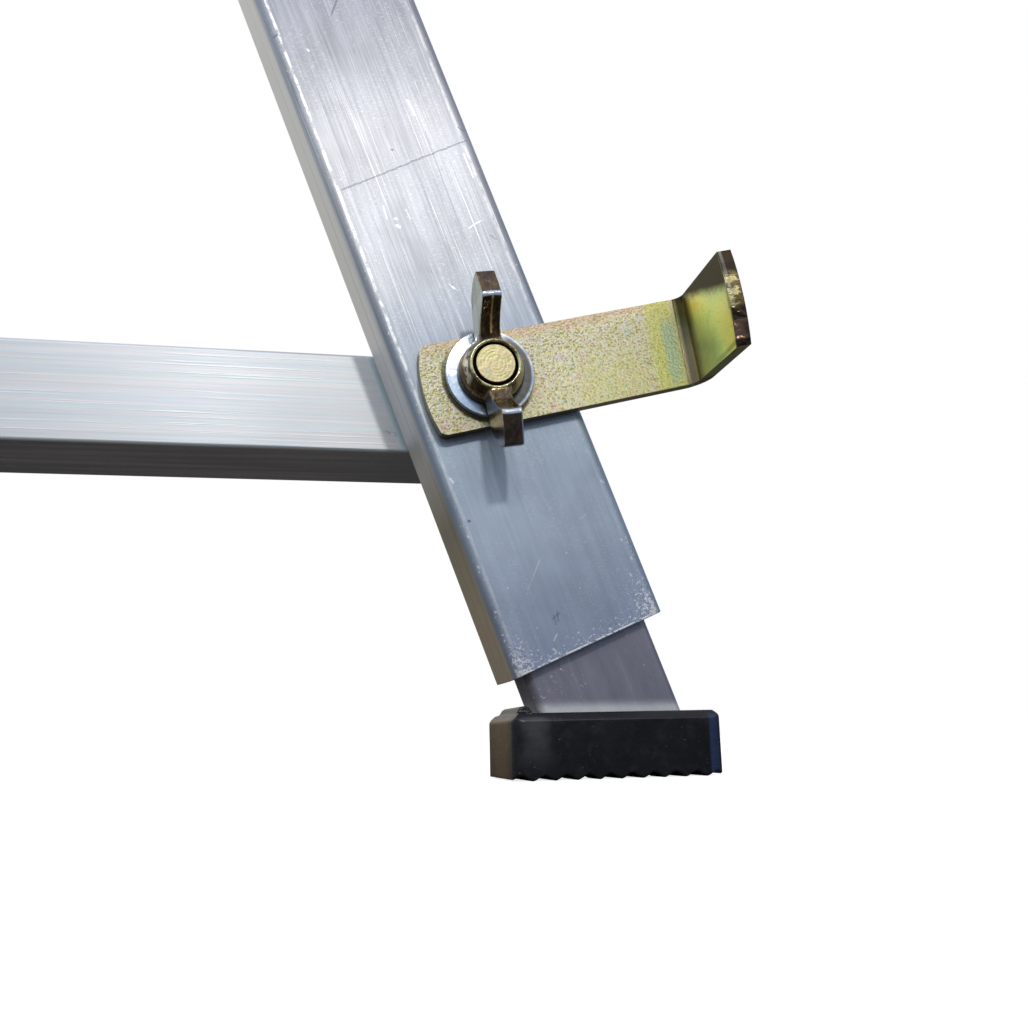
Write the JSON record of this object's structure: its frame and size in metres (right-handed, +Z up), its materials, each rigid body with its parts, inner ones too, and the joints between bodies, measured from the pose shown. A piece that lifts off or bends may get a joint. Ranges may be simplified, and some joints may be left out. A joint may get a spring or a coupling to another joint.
{
  "type": "ladder stabilizer",
  "caption": "Ladder stabilizer: crossbar between two leaning telescopic legs with clamp levers, wing nuts and serrated rubber feet.",
  "frame": {"origin": "centre of the bounding box's footprint, on the floor", "axes": "+X along the crossbar, +Y from the lever side to the crossbar's back, +Z up"},
  "size_m": [0.79, 0.089, 0.411],
  "materials": {
    "mill_aluminium": "mill finish with die lines and scratches",
    "crossbar_aluminium": "mill finish with fine lengthwise die lines",
    "inner_aluminium": "dull mill finish",
    "yellow_plate": "yellow chromate over a grainy surface, faintly iridescent",
    "yellow_nut": "glossy dark yellow chromate",
    "yellow_bolt": "pale yellow chromate with turned rings",
    "zinc_steel": "light blue zinc",
    "foot_rubber": "black, slightly glossy",
    "black_plastic": "matte moulded"
  },
  "bodies": {
    "frame": {"crossbar": "crossbar_aluminium", "right_clamp_bolt": "yellow_bolt", "right_rear_washer": "zinc_steel", "right_crossbar_sleeve": "zinc_steel", "right_crossbar_end_plug": "black_plastic", "right_front_washer": "zinc_steel", "left_clamp_bolt": "yellow_bolt", "left_rear_washer": "zinc_steel", "left_crossbar_sleeve": "zinc_steel", "left_crossbar_end_plug": "black_plastic", "left_front_washer": "zinc_steel"},
    "right_leg": {"right_outer_leg_tube": "mill_aluminium", "right_leg_top_plug": "black_plastic", "right_stile_bush": "zinc_steel", "right_lower_guide": "black_plastic"},
    "right_foot_leg": {"right_inner_leg_tube": "inner_aluminium", "right_inner_top_glide": "black_plastic", "right_foot_plug": "black_plastic", "right_rubber_foot": "foot_rubber", "right_foot_screws": "zinc_steel"},
    "right_lever": {"right_lever_plate": "yellow_plate"},
    "right_nut": {"right_wing_nut": "yellow_nut"},
    "left_leg": {"left_outer_leg_tube": "mill_aluminium", "left_leg_top_plug": "black_plastic", "left_stile_bush": "zinc_steel", "left_lower_guide": "black_plastic"},
    "left_foot_leg": {"left_inner_leg_tube": "inner_aluminium", "left_inner_top_glide": "black_plastic", "left_foot_plug": "black_plastic", "left_rubber_foot": "foot_rubber", "left_foot_screws": "zinc_steel"},
    "left_lever": {"left_lever_plate": "yellow_plate"},
    "left_nut": {"left_wing_nut": "yellow_nut"}
  },
  "joints": [
    {"name": "right_leg_swing", "type": "hinge", "parent": "frame", "child": "right_leg", "pos_m": [0.34, -0.0058, 0.092], "axis": [0, -1, 0], "range_deg": [-20.2, 69.8]},
    {"name": "right_leg_slide", "type": "slide", "parent": "right_leg", "child": "right_foot_leg", "axis": [0.3453, 0, -0.9385], "range_m": [-0.005, 0.15]},
    {"name": "right_lever_swing", "type": "hinge", "parent": "frame", "child": "right_lever", "pos_m": [0.34, -0.0176, 0.092], "axis": [0, -1, 0], "range_deg": [-90, 90]},
    {"name": "right_nut_turn", "type": "hinge", "parent": "frame", "child": "right_nut", "pos_m": [0.34, -0.0216, 0.092], "axis": [0, -1, 0], "continuous": true},
    {"name": "left_leg_swing", "type": "hinge", "parent": "frame", "child": "left_leg", "pos_m": [-0.34, -0.0058, 0.092], "axis": [0, 1, 0], "range_deg": [-20.2, 69.8]},
    {"name": "left_leg_slide", "type": "slide", "parent": "left_leg", "child": "left_foot_leg", "axis": [-0.3453, 0, -0.9385], "range_m": [-0.005, 0.15]},
    {"name": "left_lever_swing", "type": "hinge", "parent": "frame", "child": "left_lever", "pos_m": [-0.34, -0.0176, 0.092], "axis": [0, 1, 0], "range_deg": [-90, 90]},
    {"name": "left_nut_turn", "type": "hinge", "parent": "frame", "child": "left_nut", "pos_m": [-0.34, -0.0216, 0.092], "axis": [0, 1, 0], "continuous": true}
  ]
}
